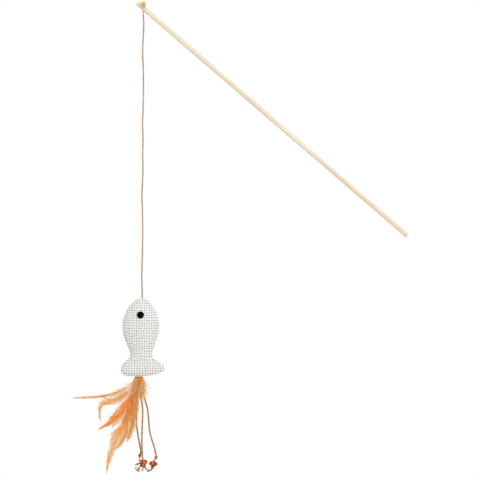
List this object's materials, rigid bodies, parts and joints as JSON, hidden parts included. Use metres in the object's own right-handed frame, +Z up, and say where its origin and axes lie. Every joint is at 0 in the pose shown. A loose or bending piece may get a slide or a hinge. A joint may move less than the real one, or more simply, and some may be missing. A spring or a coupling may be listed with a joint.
{
  "type": "cat teaser wand",
  "caption": "Cat teaser wand: a slim wooden dowel whose twine line carries a stuffed woven fish with dyed feathers, beads on cords and a jingle bell, for play with a cat",
  "frame": {"origin": "middle of the grip, on the dowel's axis, 50 mm from its butt end", "axes": "+X to the right, towards the butt end, +Z up, +Y away from the viewer, who sees the wand, the line and the flat of the fish"},
  "size_m": [0.3765, 0.0259, 0.5293],
  "materials": {
    "bare_wood": "satin",
    "twine": "matte",
    "woven_cloth": "matte",
    "fill": "matte",
    "black_plastic": "gloss",
    "washer_plastic": "matte",
    "bound_root": "matte",
    "dark_thread": "matte",
    "deep_feather": "satin",
    "pale_feather": "satin",
    "glass_bead": "gloss",
    "bell_metal": "polished"
  },
  "bodies": {
    "wand": {"dowel": "bare_wood", "tip_knot": "twine"},
    "line_upper_body": {"line_upper": "twine"},
    "line_lower_body": {"line_lower": "twine"},
    "line_end_body": {"line_end": "twine"},
    "fish": {"nose_knot": "twine", "fish_front": "woven_cloth", "fish_back": "woven_cloth", "fish_stuffing": "fill", "seam_thread": "woven_cloth", "eye_front": "black_plastic", "eye_back": "black_plastic", "eye_washer_front": "washer_plastic", "eye_washer_back": "washer_plastic", "tail_anchor": "twine", "feather_root": "bound_root", "binding_thread": "dark_thread", "bell_cord_top": "twine", "middle_cord_top": "twine", "right_cord_top": "twine"},
    "feather_1_body": {"feather_1": "deep_feather"},
    "feather_2_body": {"feather_2": "pale_feather"},
    "feather_3_body": {"feather_3": "deep_feather"},
    "feather_4_body": {"feather_4": "pale_feather"},
    "feather_5_body": {"feather_5": "pale_feather"},
    "feather_6_body": {"feather_6": "deep_feather"},
    "feather_7_body": {"feather_7": "pale_feather"},
    "down_feather_body": {"down_feather": "pale_feather"},
    "bell_cord_body": {"bell_cord": "twine", "bell_knot": "twine", "bell_bight": "twine"},
    "bell_body": {"bell_loop": "bell_metal", "bell_upper": "bell_metal", "bell_lower": "bell_metal"},
    "pellet_body": {"bell_pellet": "bell_metal"},
    "middle_cord_body": {"middle_cord": "twine", "middle_knot": "twine"},
    "middle_bead_body": {"middle_bead": "glass_bead"},
    "right_cord_body": {"right_cord": "twine", "right_upper_knot": "twine", "right_knot": "twine"},
    "right_bead_body": {"right_bead": "glass_bead"}
  },
  "joints": [
    {"name": "line_swing", "type": "hinge", "parent": "wand", "child": "line_upper_body", "pos_m": [-0.25863, 0.00315, 0.21619], "axis": [0, 1, 0], "range_deg": [-30, 90]},
    {"name": "line_bend", "type": "hinge", "parent": "line_upper_body", "child": "line_lower_body", "pos_m": [-0.25923, 0.00315, 0.05619], "axis": [1, 0, 0], "range_deg": [-80, 80]},
    {"name": "line_twist", "type": "hinge", "parent": "line_lower_body", "child": "line_end_body", "pos_m": [-0.25983, 0.00315, -0.09381], "axis": [0, 0, 1], "continuous": true},
    {"name": "fish_nod", "type": "hinge", "parent": "line_end_body", "child": "fish", "pos_m": [-0.25983, 0.00315, -0.10181], "axis": [1, 0, 0], "range_deg": [-70, 70]},
    {"name": "feather_1_flex", "type": "hinge", "parent": "fish", "child": "feather_1_body", "pos_m": [-0.26601, 0.00015, -0.19405], "axis": [0, 1, 0], "range_deg": [-15, 15], "stiffness_Nm_per_rad": 0.004},
    {"name": "feather_2_flex", "type": "hinge", "parent": "fish", "child": "feather_2_body", "pos_m": [-0.26535, 0.00115, -0.19405], "axis": [0, 1, 0], "range_deg": [-15, 15], "stiffness_Nm_per_rad": 0.004},
    {"name": "feather_3_flex", "type": "hinge", "parent": "fish", "child": "feather_3_body", "pos_m": [-0.26469, 0.00065, -0.19405], "axis": [0, 1, 0], "range_deg": [-15, 15], "stiffness_Nm_per_rad": 0.004},
    {"name": "feather_4_flex", "type": "hinge", "parent": "fish", "child": "feather_4_body", "pos_m": [-0.26403, 0.00315, -0.19405], "axis": [0, 1, 0], "range_deg": [-12, 12], "stiffness_Nm_per_rad": 0.004},
    {"name": "feather_5_flex", "type": "hinge", "parent": "fish", "child": "feather_5_body", "pos_m": [-0.26403, 0.00165, -0.19405], "axis": [0, 1, 0], "range_deg": [-6, 15], "stiffness_Nm_per_rad": 0.004},
    {"name": "feather_6_flex", "type": "hinge", "parent": "fish", "child": "feather_6_body", "pos_m": [-0.2635, 0.00215, -0.19405], "axis": [0, 1, 0], "range_deg": [-3, 15], "stiffness_Nm_per_rad": 0.004},
    {"name": "feather_7_flex", "type": "hinge", "parent": "fish", "child": "feather_7_body", "pos_m": [-0.26377, 0.00265, -0.19405], "axis": [0, 1, 0], "range_deg": [-5, 15], "stiffness_Nm_per_rad": 0.004},
    {"name": "down_feather_flex", "type": "hinge", "parent": "fish", "child": "down_feather_body", "pos_m": [-0.26205, -0.00035, -0.19405], "axis": [0, 1, 0], "range_deg": [-8, 8], "stiffness_Nm_per_rad": 0.004},
    {"name": "bell_cord_swing", "type": "hinge", "parent": "fish", "child": "bell_cord_body", "pos_m": [-0.26543, 0.00615, -0.21706], "axis": [1, 0, 0], "range_deg": [0, 60]},
    {"name": "bell_swing", "type": "hinge", "parent": "bell_cord_body", "child": "bell_body", "pos_m": [-0.26293, 0.00965, -0.28576], "axis": [0, 1, 0], "range_deg": [0, 50]},
    {"name": "pellet_jump", "type": "slide", "parent": "bell_body", "child": "pellet_body", "axis": [0, 0, 1], "range_m": [0, 0.007]},
    {"name": "middle_cord_swing", "type": "hinge", "parent": "fish", "child": "middle_cord_body", "pos_m": [-0.26083, 0.00455, -0.21706], "axis": [-1, 0, 0], "range_deg": [0, 60]},
    {"name": "middle_bead_spin", "type": "hinge", "parent": "middle_cord_body", "child": "middle_bead_body", "pos_m": [-0.25853, 0.00055, -0.28676], "axis": [0.2399, 0.2799, -0.9296], "continuous": true},
    {"name": "right_cord_swing", "type": "hinge", "parent": "fish", "child": "right_cord_body", "pos_m": [-0.25683, 0.00615, -0.21706], "axis": [0, -1, 0], "range_deg": [0, 60]},
    {"name": "right_bead_spin", "type": "hinge", "parent": "right_cord_body", "child": "right_bead_body", "pos_m": [-0.24753, 0.00465, -0.28846], "axis": [-0.1807, 0, -0.9835], "continuous": true}
  ]
}
